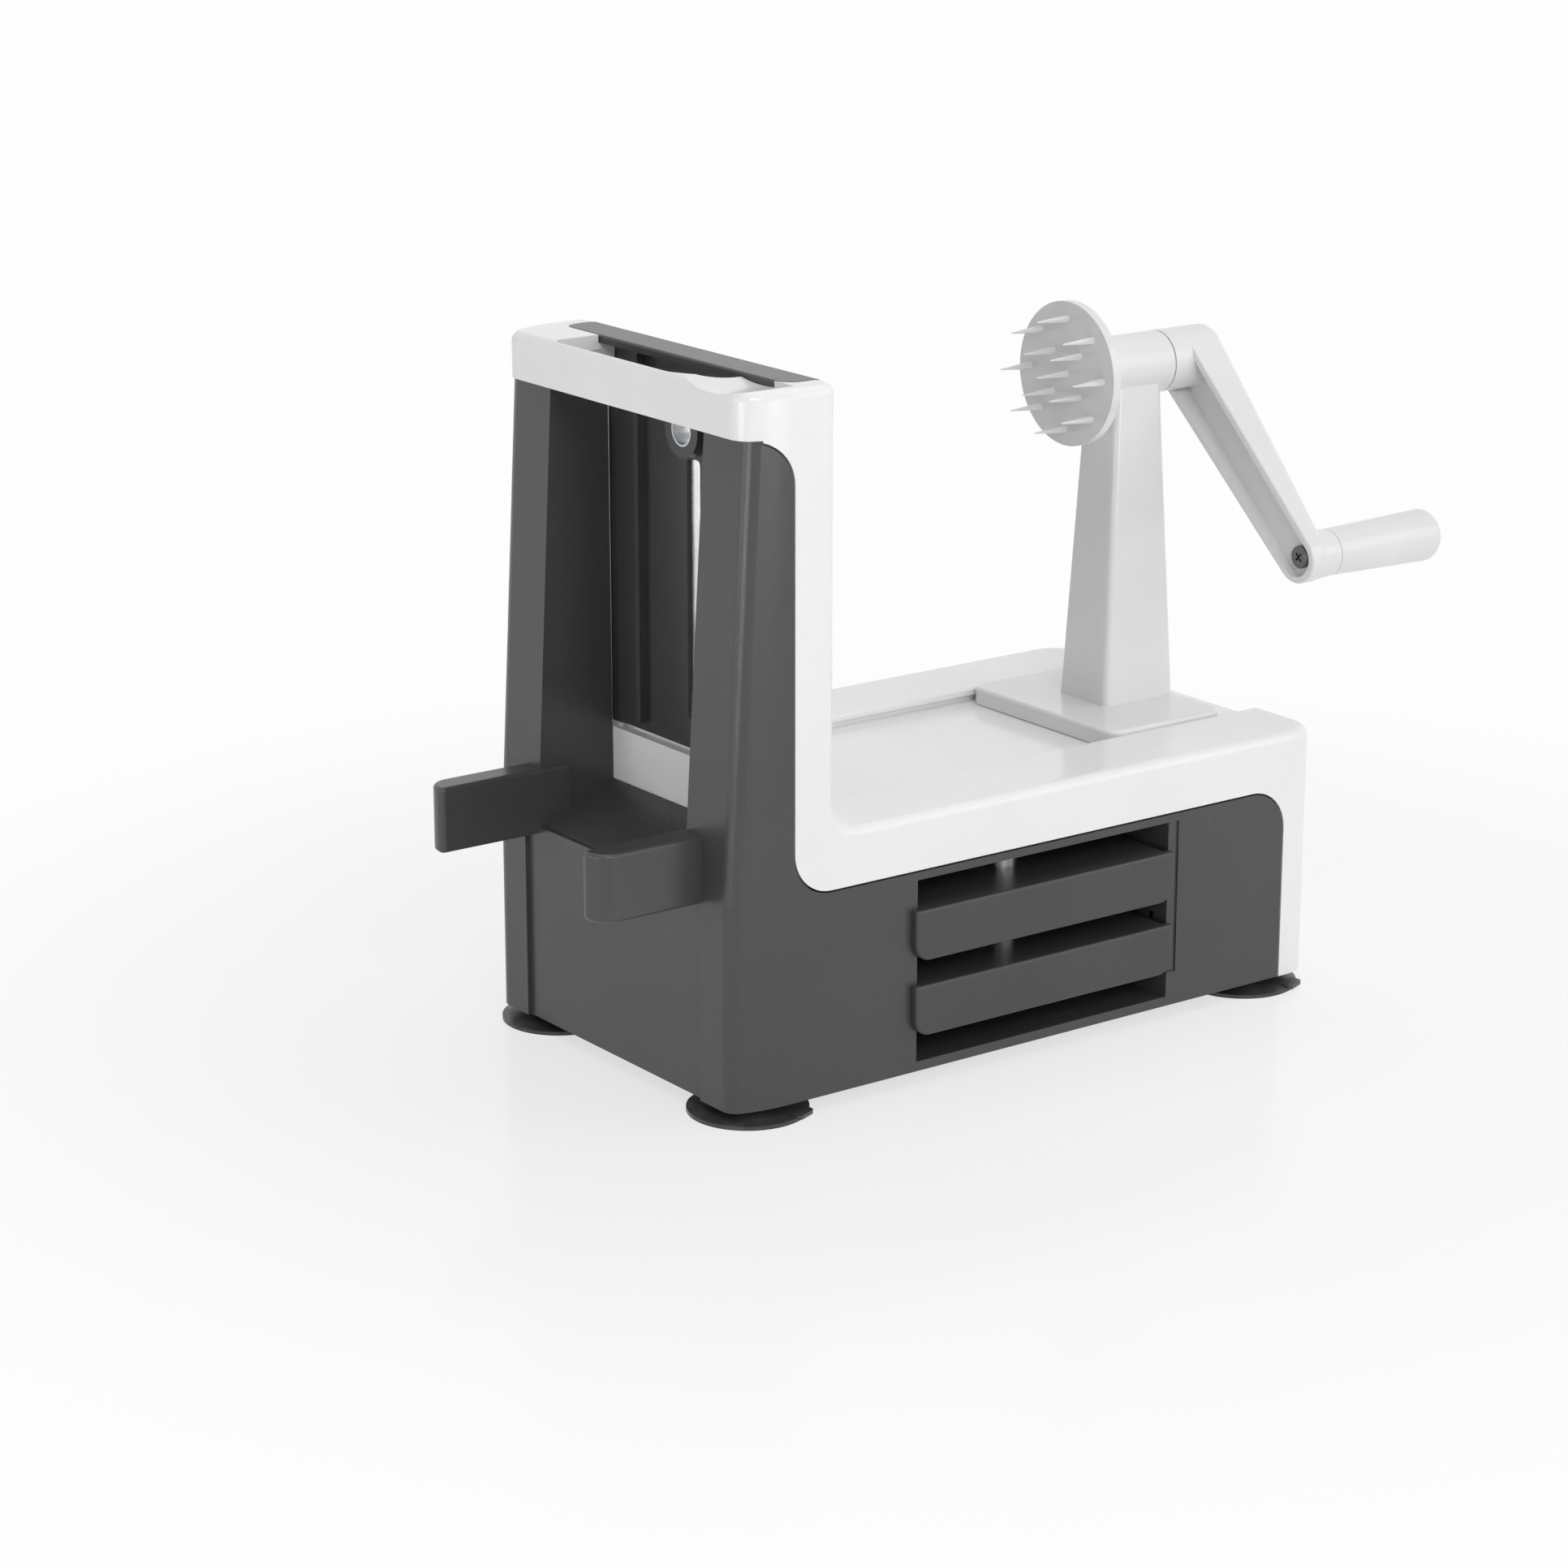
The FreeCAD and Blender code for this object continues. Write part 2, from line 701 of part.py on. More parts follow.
    # seat of the bottom plate, and the screw bosses above it
    inset = d.wall
    extrude(body, "Pocket", "XY", -1, d.plate_thickness + d.fit_gap + 1, [[
        (start_x, -half_width + inset, inside),
        (housing_end - inset, -half_width + inset, d.corner_crank + d.skin),
        (housing_end - inset, half_width - inset, d.corner_crank + d.skin),
        (start_x, half_width - inset, inside)]])
    places = list(SCREW_PLACES.values())
    extrude(body, "Pad", "XY", d.plate_thickness, ceiling - d.plate_thickness + d.wall / 2, circles=[
        (x, y, d.boss_diameter / 2) for x, y in places])
    extrude(body, "Pocket", "XY", d.plate_thickness - 1, ceiling / 2, circles=[
        (x, y, d.screw_shank / 2 + d.running_gap) for x, y in places])
    return body


def is_outer_edge(edge):
    """True for the cover's outer contour: round the top, down the portal and along the deck."""
    if on_plane(edge, "z", portal_level):
        return not beside(edge, "x", d.portal_depth - d.rim_radius * 2, d.portal_depth)
    if on_plane(edge, "z", d.deck_level):
        return beside(edge, "x", d.portal_depth + d.inner_radius * 2, d.base_length + 1)
    on_side = on_plane(edge, "y", -half_width) or on_plane(edge, "y", half_width)
    past_front = beside(edge, "x", d.portal_depth - d.rim_radius, d.portal_depth + d.inner_radius)
    return on_side and past_front and beside(edge, "z", d.deck_level, portal_level)


def is_channel_rim(edge):
    beyond_portal = beside(edge, "x", d.portal_depth + d.inner_radius, d.base_length)
    return beyond_portal and any(
        on_plane(edge, "y", side) and on_plane(edge, "z", d.deck_level)
        for side in (-half_channel, half_channel))


def make_cover_frame():
    body = new_body("cover_frame")
    inner_half = half_width - d.skin
    extrude(body, "Pad", "XZ", -half_width, d.base_width, [[
        (d.band_start, band_level),
        (d.band_start, portal_level),
        (d.portal_depth, portal_level, d.rim_radius),
        (d.portal_depth, d.deck_level, d.inner_radius),
        (d.base_length, d.deck_level),
        (d.base_length, 0),
        (strip_start, 0),
        (strip_start, d.shoulder_level, d.panel_radius + d.seam_gap),
        (d.column_strip, d.shoulder_level, d.panel_radius),
        (d.column_strip, band_level, d.panel_radius + d.seam_gap),
    ]])
    # trim to the rounded plan, then ease every outer edge
    near_side, far_side = outlet_corners(d.band_start, d.band_fall, d.band_radius, d.band_sweep)
    past = d.leg_strip
    extrude(body, "Pocket", "XY", -1, portal_level + 2, [
        rectangle(-past, d.base_length + past, -half_width - past, half_width + past),
        near_side + [
            (d.base_length, -half_width, d.corner_crank),
            (d.base_length, half_width, d.corner_crank)] + far_side,
    ])
    soften(body, d.edge_radius, is_outer_edge)
    # room for the columns behind the side strips
    extrude(body, "Pocket", "YZ", 0, d.column_depth + d.fit_gap, [
        rectangle(-inner_half, inner_half, 0, band_level)])
    behind = opening_high + d.column_depth / 8
    extrude(body, "Pocket", "YZ", 0, slot_back, [rectangle(-behind, behind, d.sill_level, band_level)])
    # window that the food is pressed against, open at the top, and the insert's slot
    extrude(body, "Pocket", "YZ", d.column_depth, d.portal_depth - d.column_depth + 1, [[
        (-opening_high, d.sill_level, d.edge_radius),
        (opening_high, d.sill_level, d.edge_radius),
        (opening_high, portal_level + 1),
        (-opening_high, portal_level + 1)]])
    slot_half = d.insert_width / 2 + d.slide_gap
    slot_level = portal_level - insert_length - d.slide_gap
    extrude(body, "Pocket", "XY", slot_level, insert_length + 2, [
        rectangle(slot_back, slot_front, -slot_half, slot_half)])
    # hollow band with a seat for the insert's lip, and a finger opening and a scoop in front of it
    lip_edge = d.mounted_lip_start - d.slide_gap
    lip_half = d.mounted_lip_width / 2 + d.slide_gap
    lip_seat = portal_level - d.lip_thickness - d.fit_gap / 2
    top_wall = lip_seat - d.wall
    extrude(body, "Pocket", "XY", lip_seat, d.lip_thickness + 1, [[
        (lip_edge, -lip_half, d.lip_radius + d.slide_gap),
        (d.portal_depth + 1, -lip_half),
        (d.portal_depth + 1, lip_half),
        (lip_edge, lip_half, d.lip_radius + d.slide_gap)]])
    extrude(body, "Pocket", "XY", band_level - 1, top_wall - band_level + 1, [
        rectangle(d.finger_start, d.column_depth + 1, -opening_high, opening_high)])
    extrude(body, "Pocket", "XY", top_wall - 1, portal_level - top_wall + 2, [[
        (slot_back, d.finger_low),
        (slot_back, d.finger_high),
        (d.finger_start, d.finger_high, d.lip_thickness),
        (d.finger_start, d.finger_low, d.finger_radius)]])
    rim = portal_level + 1
    scoop_half = d.scoop_width / 2
    extrude(body, "Pocket", "YZ", 0, lip_edge, [[
        (d.scoop_middle - scoop_half, rim),
        (d.scoop_middle, portal_level - d.scoop_depth * 2, d.scoop_width * 1.5),
        (d.scoop_middle + scoop_half, rim)]])
    # slide channel with a groove under each rail
    run = d.base_length - d.portal_depth + 1
    extrude(body, "Pocket", "YZ", d.portal_depth, run, [
        rectangle(-half_channel, half_channel, floor_level, d.deck_level + 1)])
    soften(body, d.channel_round, is_channel_rim)
    reach = half_channel + d.groove_depth
    extrude(body, "Pocket", "YZ", d.portal_depth, run, [
        rectangle(-reach, reach, floor_level, floor_level + d.groove_height)])
    # the deck is a shell on cross ribs, and the end wall a shell open towards the housing
    first = d.portal_depth + d.skin
    cell = (d.base_length - d.skin - first) / 4
    centre_cells = []
    rail_cells = []
    for index in range(4):
        left = first + cell * index
        right = left + cell - d.wall
        centre_cells.append(rectangle(left, right, d.skin - half_channel, half_channel - d.skin))
        for side in (-1, 1):
            edges = [(reach + d.wall) * side, inner_half * side]
            corner = (d.corner_crank - d.skin,) if index == 3 else ()
            rail_cells.append([
                (left, edges[0]), (right, edges[0]), (right, edges[1]) + corner, (left, edges[1])])
    extrude(body, "Pocket", "XY", d.shoulder_level - 1, floor_level - d.skin - d.shoulder_level + 1,
            centre_cells)
    extrude(body, "Pocket", "XY", d.shoulder_level - 1, d.deck_level - d.skin - d.shoulder_level + 1,
            rail_cells)
    extrude(body, "Pocket", "XY", -1, d.shoulder_level + 1, [[
        (d.base_length - d.leg_width - 1, -inner_half),
        (d.base_length - d.skin, -inner_half, d.corner_crank - d.skin),
        (d.base_length - d.skin, inner_half, d.corner_crank - d.skin),
        (d.base_length - d.leg_width - 1, inner_half)]])
    # the wide strip and the rounded corner at the crank end are in the side skins only
    extrude(body, "Pocket", "XZ", -inner_half, inner_half * 2, [rectangle(
        strip_start - d.panel_radius * 2, d.base_length - d.leg_width, -1, d.shoulder_level)])
    return body


def make_bottom_plate():
    body = new_body("bottom_plate")
    inset = d.wall + d.fit_gap
    start_x = d.outlet_recess + inset
    inside = d.corner_inside
    extrude(body, "Pad", "XY", 0, d.plate_thickness, [[
        (start_x, -half_width + inset, inside),
        (housing_end - inset, -half_width + inset, d.corner_crank + d.skin),
        (housing_end - inset, half_width - inset, d.corner_crank + d.skin),
        (start_x, half_width - inset, inside)]])
    extrude(body, "Pocket", "XY", -1, d.plate_thickness + 2, circles=[
        (x, y, d.foot_stem / 2 + d.running_gap) for x, y in FOOT_PLACES.values()])
    for x, y in SCREW_PLACES.values():
        hole = d.screw_shank / 2 + d.fit_gap
        revolve(body, "XZ", [
            (0, -1), (d.screw_head / 2 + d.fit_gap + 1, -1), (hole, d.screw_head_height),
            (hole, d.plate_thickness + 1), (0, d.plate_thickness + 1)],
            "V_Axis", at=y, across=x, kind="Groove")
    return body


def make_base_screw(place):
    x, y = SCREW_PLACES[place]
    body = new_body(f"base_screw_{place}", x, y)
    radius = d.screw_shank / 2
    revolve(body, "XZ", [
        (0, 0), (d.screw_head / 2, 0), (radius, d.screw_head_height), (radius, d.screw_length),
        (0, d.screw_length + radius)], "V_Axis")
    reach = d.slot_length / 2
    half = d.slot_width / 2
    for wide, high in ((reach, half), (half, reach)):
        extrude(body, "Pocket", "XY", -1, d.slot_depth + 1, [rectangle(-wide, wide, -high, high)])
    return body


def make_suction_foot(place):
    x, y = FOOT_PLACES[place]
    body = new_body(f"suction_foot_{place}", x, y)
    rim = d.foot_diameter / 2
    shoulder = d.foot_shoulder / 2
    stem = d.foot_stem / 2
    bench = -d.foot_height
    bulb = stem + d.foot_lip
    revolve(body, "XZ", [
        (0, bench + d.foot_hollow), (shoulder, bench + d.foot_hollow), (rim - d.foot_lip, bench),
        (rim, bench), (rim, bench + d.foot_lip), (shoulder, -d.foot_waist), (shoulder, 0),
        (stem, 0), (stem, d.plate_thickness), (bulb, d.plate_thickness),
        (bulb, d.plate_thickness * 2), (0, d.plate_thickness * 2)], "V_Axis")
    # pull tab on the side that faces away from the machine
    outwards = math.copysign(1, y.value)
    left = d.tab_beside
    right = left + d.tab_width
    inner = rim - d.tab_inset
    outer = inner + d.tab_length
    extrude(body, "Pad", "XY", bench + d.foot_lip / 2, d.foot_lip, [[
        (left, inner * outwards),
        (right, (inner - d.tab_slope) * outwards),
        (right + 1, (outer - d.tab_slope) * outwards, d.tab_round),
        (left + 1, outer * outwards, d.tab_round)]])
    return body


# --- blade inserts: frame, slicing blade, core tube and comb --------------------------------------


def insert_place(kind):
    """Where an insert's own origin lies: the middle of its lip's outer edge, food side up."""
    if kind == "slicing":
        turn = Rotation(Vector(0, -1, 0), Vector(0, 0, -1), Vector(1, 0, 0), "ZXY")
        return (d.insert_plane, 0, portal_level), turn
    level = d.upper_insert if kind == "fine" else d.lower_insert
    return (spare_middle, spare_front, level), Rotation()


def new_insert_body(kind, name):
    place, turn = insert_place(kind)
    body = new_body(f"{kind}_{name}", *place)
    body.Placement = Placement(body.Placement.Base, turn)
    return body


blade_bend = -d.blade_offset
blade_tip = blade_bend + d.blade_rise
seat_left = blade_tip - d.blade_width
comb_left = blade_bend + 1 + d.throat_width
comb_right = comb_left + d.tooth_width + d.comb_margin


def make_insert_frame(kind):
    body = new_insert_body(kind, "insert")
    half = d.insert_width / 2
    extrude(body, "Pad", "XY", -d.insert_plate, d.insert_plate, [[
        (-half, 0), (half, 0), (half, insert_length, d.insert_plate),
        (-half, insert_length, d.insert_plate)]])
    if kind == "slicing":
        half_lip = d.mounted_lip_width / 2
        lip_low = d.mounted_lip_start - d.insert_plane
        lip_high = d.mounted_lip_end - d.insert_plane
    else:
        half_lip = d.lip_width / 2
        lip_low = -d.lip_height
        lip_high = as_length(0)
    extrude(body, "Pad", "XZ", 0, d.lip_thickness, [[
        (-half_lip, lip_low, d.lip_radius), (half_lip, lip_low, d.lip_radius),
        (half_lip, lip_high), (-half_lip, lip_high)]])
    soften(body, d.lip_thickness / 3, lambda edge: on_plane(edge, "y", 0))
    # stiffening ribs and the hub under the plate
    rib_start = d.lip_thickness / 2
    rib_half = d.insert_plate / 2
    for middle in (-d.rib_spread, d.rib_spread):
        extrude(body, "Pad", "XZ", rib_start, insert_length - rib_start - d.rib_height, [
            rectangle(middle - rib_half, middle + rib_half, -d.insert_plate - d.rib_height, -rib_half)])
    hub_low = -d.insert_plate - d.hub_height
    extrude(body, "Pad", "XY", hub_low, -hub_low, circles=[(0, d.axis_drop, d.hub_diameter / 2)])
    extrude(body, "Pocket", "XY", hub_low - 1, 2 - hub_low, circles=[
        (0, d.axis_drop, d.core_diameter / 2 + d.running_gap)])
    # throat beside the blade, blade seat and its two stakes
    start = d.axis_drop + d.throat_start
    extrude(body, "Pocket", "XY", -d.insert_plate - 1, d.insert_plate + 2, [
        rectangle(blade_bend + 0.5, blade_bend + 0.5 + d.throat_width, start, start + throat_length, 2)])
    extrude(body, "Pocket", "XY", -d.blade_thickness - d.running_gap, d.blade_thickness + 1, [
        rectangle(seat_left - d.fit_gap, blade_bend + 4, start - d.fit_gap - 1,
                  start + throat_length + d.fit_gap + 1)])
    if kind != "slicing":
        extrude(body, "Pocket", "XY", -d.blade_thickness - d.running_gap, d.blade_thickness + 1, [
            rectangle(comb_left - d.fit_gap, comb_right + d.fit_gap,
                      start - d.fit_gap - 1, start + throat_length + d.fit_gap + 1)])
    extrude(body, "Pad", "XY", -d.insert_plate / 2, d.insert_plate / 2 + 0.5, circles=stakes(0))
    return body


def stakes(clearance):
    """The two studs that hold a blade, as circles wider than the studs by a clearance."""
    start = d.axis_drop + d.throat_start
    radius = d.stake_diameter / 2 + clearance
    return [
        (seat_left + d.stake_side, start + d.stake_inset, radius),
        (seat_left + d.stake_side, start + throat_length - d.stake_inset, radius)]


def make_slicing_blade(kind):
    body = new_insert_body(kind, "blade")
    start = d.axis_drop + d.throat_start
    thick = d.blade_thickness
    tip = blade_tip
    rise = d.blade_stand
    extrude(body, "Pad", "XZ", start - 1, throat_length + 2, [[
        (seat_left, -thick), (blade_bend, -thick), (tip - 1, rise - thick),
        (tip, rise), (tip - 2, rise), (blade_bend - 0.5, 0), (seat_left, 0)]])
    extrude(body, "Pocket", "XY", -thick - 1, thick + 3, circles=stakes(d.running_gap))
    return body


def make_core_tube(kind):
    body = new_insert_body(kind, "core_tube")
    outer = d.core_diameter / 2
    inner = outer - d.core_wall
    top = d.core_height
    hub_low = -d.insert_plate - d.hub_height
    extrude(body, "Pad", "XY", hub_low, d.core_height - hub_low, circles=[
        (0, d.axis_drop, outer), (0, d.axis_drop, inner)])
    # ground edge
    revolve(body, "XZ", [(inner, top - 2), (outer, top + 0.01), (inner, top + 0.01)],
            "V_Axis", at=d.axis_drop, kind="Groove")
    return body


def make_comb(kind, pitch):
    """Steel strip with upright scoring teeth at a pitch, in its seat beside the throat."""
    body = new_insert_body(kind, "comb")
    start = d.axis_drop + d.throat_start
    left = comb_left + d.comb_margin / 2
    right = left + d.tooth_width
    extrude(body, "Pad", "XY", -d.blade_thickness, d.blade_thickness, [
        rectangle(comb_left, comb_right, start - 1, start + throat_length + 1)])
    first = start + pitch / 2
    tooth = extrude(body, "Pad", "XZ", first, d.tooth_thickness, [[
        (left, -d.blade_thickness / 2), (right, -d.blade_thickness / 2),
        (right, d.tooth_height - d.tooth_slope), (left, d.tooth_height)]])
    document.recompute()
    pattern = body.newObject("PartDesign::LinearPattern", "LinearPattern")
    pattern.Originals = [tooth]
    pattern.Direction = (next(o for o in body.Origin.OriginFeatures if o.Role == "Y_Axis"), [""])
    pattern.setExpression("Occurrences", f"floor({throat_length.text} / {pitch.text})")
    pattern.setExpression("Length", f"{pitch.text} * (floor({throat_length.text} / {pitch.text}) - 1)")
    body.Tip = pattern
    return body


# --- carriage: slider, post and bush --------------------------------------------------------------


def make_slider():
    body = new_body("slider_plate")
    end = slider_end
    half = half_channel - d.slide_gap
    extrude(body, "Pad", "XY", slider_level, d.slider_thickness, [
        rectangle(slider_start, end, -half, half, d.slider_radius)])
    top = slider_level + d.slider_thickness
    soften(body, d.slider_round, lambda edge: on_plane(edge, "z", top))
    tongue = half + d.groove_depth
    tongue_end = d.slider_radius + d.tongue_inset
    foot_half = d.post_foot_length / 2
    extrude(body, "Pad", "XY", slider_level, d.groove_height - d.fit_gap * 2, [
        rectangle(slider_start + tongue_end, end - tongue_end, -tongue, tongue, d.tongue_inset / 2)])
    extrude(body, "Pocket", "XY", slider_level - 1, d.slider_thickness - d.skin + 1, [
        rectangle(
            slider_start + d.skin, post_centre - foot_half - d.wall, d.skin - half, half - d.skin, d.skin),
        rectangle(post_centre - foot_half, end - d.skin, d.skin - half, -d.skin, d.skin),
        rectangle(post_centre - foot_half, end - d.skin, d.skin, half - d.skin, d.skin)])
    return body


def centred(length, width):
    return rectangle(
        post_centre - length / 2, post_centre + length / 2, -width / 2, width / 2, d.post_edge)


def make_crank_post():
    body = new_body("crank_post")
    foot = slider_level + d.slider_thickness
    neck = axis_level - d.head_diameter / 4
    loft(body, [
        (foot, centred(d.post_foot_length, d.post_foot_width)),
        (neck, centred(d.post_top_length, d.post_top_width)),
    ])
    extrude(body, "Pad", "YZ", head_start, head_end - head_start, circles=[
        (0, axis_level, d.head_diameter / 2)])
    soften(body, d.post_edge / 2, lambda edge: on_plane(edge, "x", head_start))
    extrude(body, "Pocket", "YZ", head_start - 1, head_end - head_start + 2, circles=[
        (0, axis_level, d.bush_diameter / 2 + d.running_gap)])
    return body


def make_bearing_bush():
    body = new_body("bearing_bush", 0, 0, axis_level)
    bore = d.shaft_diameter / 2 + d.running_gap
    flange = head_start - d.bush_flange_thickness
    revolve(body, "XZ", [
        (flange, bore), (head_end, bore), (head_end, d.bush_diameter / 2),
        (head_start, d.bush_diameter / 2), (head_start, d.bush_flange / 2),
        (flange, d.bush_flange / 2)])
    return body


# --- crank, food holder and grip, each about the crank axis with the arm's open side at X = 0 -----


def new_crank_body(name):
    return new_body(name, crank_start, 0, axis_level, Vector(1, 0, 0), turned_down)


holder_rear = head_start - crank_start - d.bush_flange_thickness - d.holder_gap
disc_rear = holder_rear - d.holder_back
disc_front = disc_rear - d.holder_thickness


shaft_end = d.crank_depth - d.crank_web * 1.5


def make_drive_shaft():
    body = new_crank_body("drive_shaft")
    radius = d.shaft_diameter / 2
    end = shaft_end
    revolve(body, "XZ", [(disc_rear, 0), (end, 0), (end, radius), (disc_rear, radius)])
    extrude(body, "Pocket", "YZ", end - d.shaft_diameter, d.shaft_diameter + 1, circles=[
        (0, 0, d.screw_shank / 2 + d.running_gap)])
    return body


def is_open_rim(edge):
    """True for the arm's two long outer edges on the side that opens towards the post."""
    along_x, along_y, along_z = box_of(edge)
    outermost = max(abs(limit) for limit in along_z) > d.crank_end_diameter.value / 2
    return along_x[1] < 1.4 * d.crank_rise.value and edge.Length > d.crank_length.value / 2 and outermost


def make_crank_arm():
    body = new_crank_body("crank_arm")
    hub = d.head_diameter / 2
    end = d.crank_end_diameter / 2
    sketch = new_sketch(body, "YZ", 0)
    draw_teardrop(sketch, d.crank_length, hub, end)
    extrude_sketch(body, "Pad", "YZ", sketch, d.crank_depth)
    # both sides slope, so that the arm thins towards its end
    before = -hub * 2
    beyond = d.crank_length * 1.5
    thin = d.crank_depth - arm_back
    for outer, start_x, end_x in (
        (-d.crank_depth, -d.crank_rise * hub * 2 / d.crank_length, d.crank_rise * 1.5),
        (d.crank_depth * 2, d.crank_depth + thin * hub * 2 / d.crank_length, d.crank_depth - thin * 1.5),
    ):
        extrude(body, "Pocket", "XY", -hub * 2, hub * 4, [[
            (outer, before), (start_x, before), (end_x, beyond), (outer, beyond)]])
    soften(body, d.crank_round, lambda edge: beside(edge, "x", arm_back - 1, d.crank_depth + 1))
    # channel in the side towards the post, ending at the hub
    near_half = hub - d.crank_wall
    far_half = end - d.crank_wall
    far_end = d.crank_length + far_half
    extrude(body, "Pocket", "YZ", -d.crank_depth, axle_seat + d.crank_depth, [[
        (0, -near_half), (far_end, -far_half, far_half - 0.3),
        (far_end, far_half, far_half - 0.3), (0, near_half)]])
    soften(body, d.crank_wall / 3, is_open_rim)
    extrude(body, "Pad", "YZ", hub_start, axle_seat - hub_start + 1, circles=[(0, 0, hub)])
    revolve(body, "XZ", [
        (axle_seat, 0), (axle_seat, end - 0.05), (arm_back + d.crank_boss, d.grip_diameter / 2),
        (arm_back + d.crank_boss, 0)], at=d.crank_length)
    # bores for the shaft, its screw and the grip's axle
    extrude(body, "Pocket", "YZ", hub_start - 1, shaft_end - hub_start + 1, circles=[
        (0, 0, d.shaft_diameter / 2 + d.running_gap)])
    extrude(body, "Pocket", "YZ", shaft_end - 1, d.crank_depth - shaft_end + 2, circles=[
        (0, 0, d.screw_shank / 2 + d.fit_gap)])
    extrude(body, "Pocket", "YZ", d.crank_depth - d.crank_screw_sink, d.crank_screw_sink + 1, circles=[
        (0, 0, d.axle_head / 2 + d.fit_gap)])
    extrude(body, "Pocket", "YZ", axle_seat - 1, d.crank_web + d.crank_boss + 3, circles=[
        (d.crank_length, 0, d.axle_diameter / 2 + d.running_gap)])
    return body


def cut_cross(body, face, depth, y=0):
    """Cross recess in a screw head, from its face inwards."""
    half = d.cross_width / 2
    for wide, high in ((d.cross_reach, half), (half, d.cross_reach)):
        extrude(body, "Pocket", "YZ", face, depth, [
            rectangle(as_length(y) - wide, as_length(y) + wide, -high, high)])


def make_crank_screw():
    body = new_crank_body("crank_screw")
    seat = d.crank_depth - d.crank_screw_sink
    tip = seat - d.crank_screw_length
    face = seat + d.crank_screw_head
    radius = d.screw_shank / 2
    head = d.axle_head / 2
    revolve(body, "XZ", [
        (seat, 0), (tip, 0), (tip, radius), (seat, radius), (seat, head), (face, head, d.head_round),
        (face, 0)])
    cut_cross(body, face - d.crank_screw_head / 2, d.crank_screw_head)
    return body


def make_food_holder():
    body = new_crank_body("food_holder")
    disc = d.holder_diameter / 2
    collar = d.shaft_diameter / 2 + d.collar_wall
    bore = d.shaft_diameter / 2 + d.running_gap
    revolve(body, "XZ", [
        (holder_rear, bore), (holder_rear, collar), (disc_rear, collar + d.collar_flare), (disc_rear, disc),
        (disc_front, disc), (disc_front, 0), (disc_rear, 0), (disc_rear, bore)])
    gusset = extrude(body, "Pad", "XZ", -d.wall / 2, d.wall, [[
        (holder_rear - 1, collar - 1), (disc_rear - 1, disc - d.skin), (disc_rear - 1, collar - 1)]])
    turn_round(body, gusset, 6)
    for ring, count in ((d.spike_ring, 8), (d.spike_inner_ring, 4), (as_length(0), 1)):
        spike = loft(body, [
            (disc_front - d.spike_length, hexagon(d.spike_root / 12)),
            (disc_front + 1, hexagon(d.spike_root / 2)),
        ], "YZ", up=ring / 2)
        if count > 1:
            turn_round(body, spike, count)
    return body


def hexagon(radius):
    corners = []
    for step in range(6):
        angle = math.radians(step * 60)
        corners.append((radius * round(math.cos(angle), 6), radius * round(math.sin(angle), 6)))
    return corners


def turn_round(body, feature, count):
    """Repeat a feature evenly about the crank axis."""
    document.recompute()
    pattern = body.newObject("PartDesign::PolarPattern", "PolarPattern")
    pattern.Originals = [feature]
    pattern.Axis = (next(o for o in body.Origin.OriginFeatures if o.Role == "X_Axis"), [""])
    pattern.Angle = 360
    pattern.Occurrences = count
    body.Tip = pattern
    return pattern


def make_grip_axle():
    body = new_crank_body("grip_axle")
    radius = d.axle_diameter / 2
    head = d.axle_head / 2
    face = axle_seat - d.axle_head_height
    groove = radius - d.clip_depth
    revolve(body, "XZ", [
        (face, 0), (face, head, d.head_round), (axle_seat, head), (axle_seat, radius),
        (clip_start, radius), (clip_start, groove), (clip_end, groove), (clip_end, radius),
        (axle_tip, radius), (axle_tip, 0)], at=d.crank_length)
    cut_cross(body, face - 1, d.axle_head_height / 2 + 1, d.crank_length)
    return body


def make_axle_clip():
    body = new_crank_body("axle_clip")
    radius = d.axle_diameter / 2
    inner = radius - d.clip_depth + d.clip_slack / 2
    outer = radius + d.clip_reach
    front = clip_start + d.clip_slack
    back = clip_end - d.clip_slack
    revolve(body, "XZ", [(front, inner), (back, inner), (back, outer), (front, outer)], at=d.crank_length)
    return body


def make_grip_sleeve():
    body = new_crank_body("grip_sleeve")
    bore = d.axle_diameter / 2 + d.running_gap
    end = grip_root + d.grip_length
    clip_room = d.axle_diameter / 2 + d.clip_reach + d.fit_gap
    room_start = clip_start - d.clip_slack
    room_end = clip_end + d.clip_slack
    blind = axle_tip + d.clip_thickness
    revolve(body, "XZ", [
        (grip_root, bore), (grip_root, d.grip_diameter / 2), (end, d.grip_end_diameter / 2, d.grip_radius),
        (end, 0), (blind, 0), (blind, bore), (room_end, bore), (room_end, clip_room),
        (room_start, clip_room), (room_start, bore)], at=d.crank_length)
    return body


# --- build, check and write -----------------------------------------------------------------------


def build_all():
    make_base_housing()
    make_cover_frame()
    make_bottom_plate()
    for place in SCREW_PLACES:
        make_base_screw(place)
    for place in FOOT_PLACES:
        make_suction_foot(place)
    for kind in ("slicing", "fine", "coarse"):
        make_insert_frame(kind)
        make_slicing_blade(kind)
        make_core_tube(kind)
    make_comb("fine", d.fine_pitch)
    make_comb("coarse", d.coarse_pitch)
    make_slider()
    make_crank_post()
    make_bearing_bush()
    make_drive_shaft()
    make_crank_arm()
    make_crank_screw()
    make_food_holder()
    make_grip_axle()
    make_axle_clip()
    make_grip_sleeve()


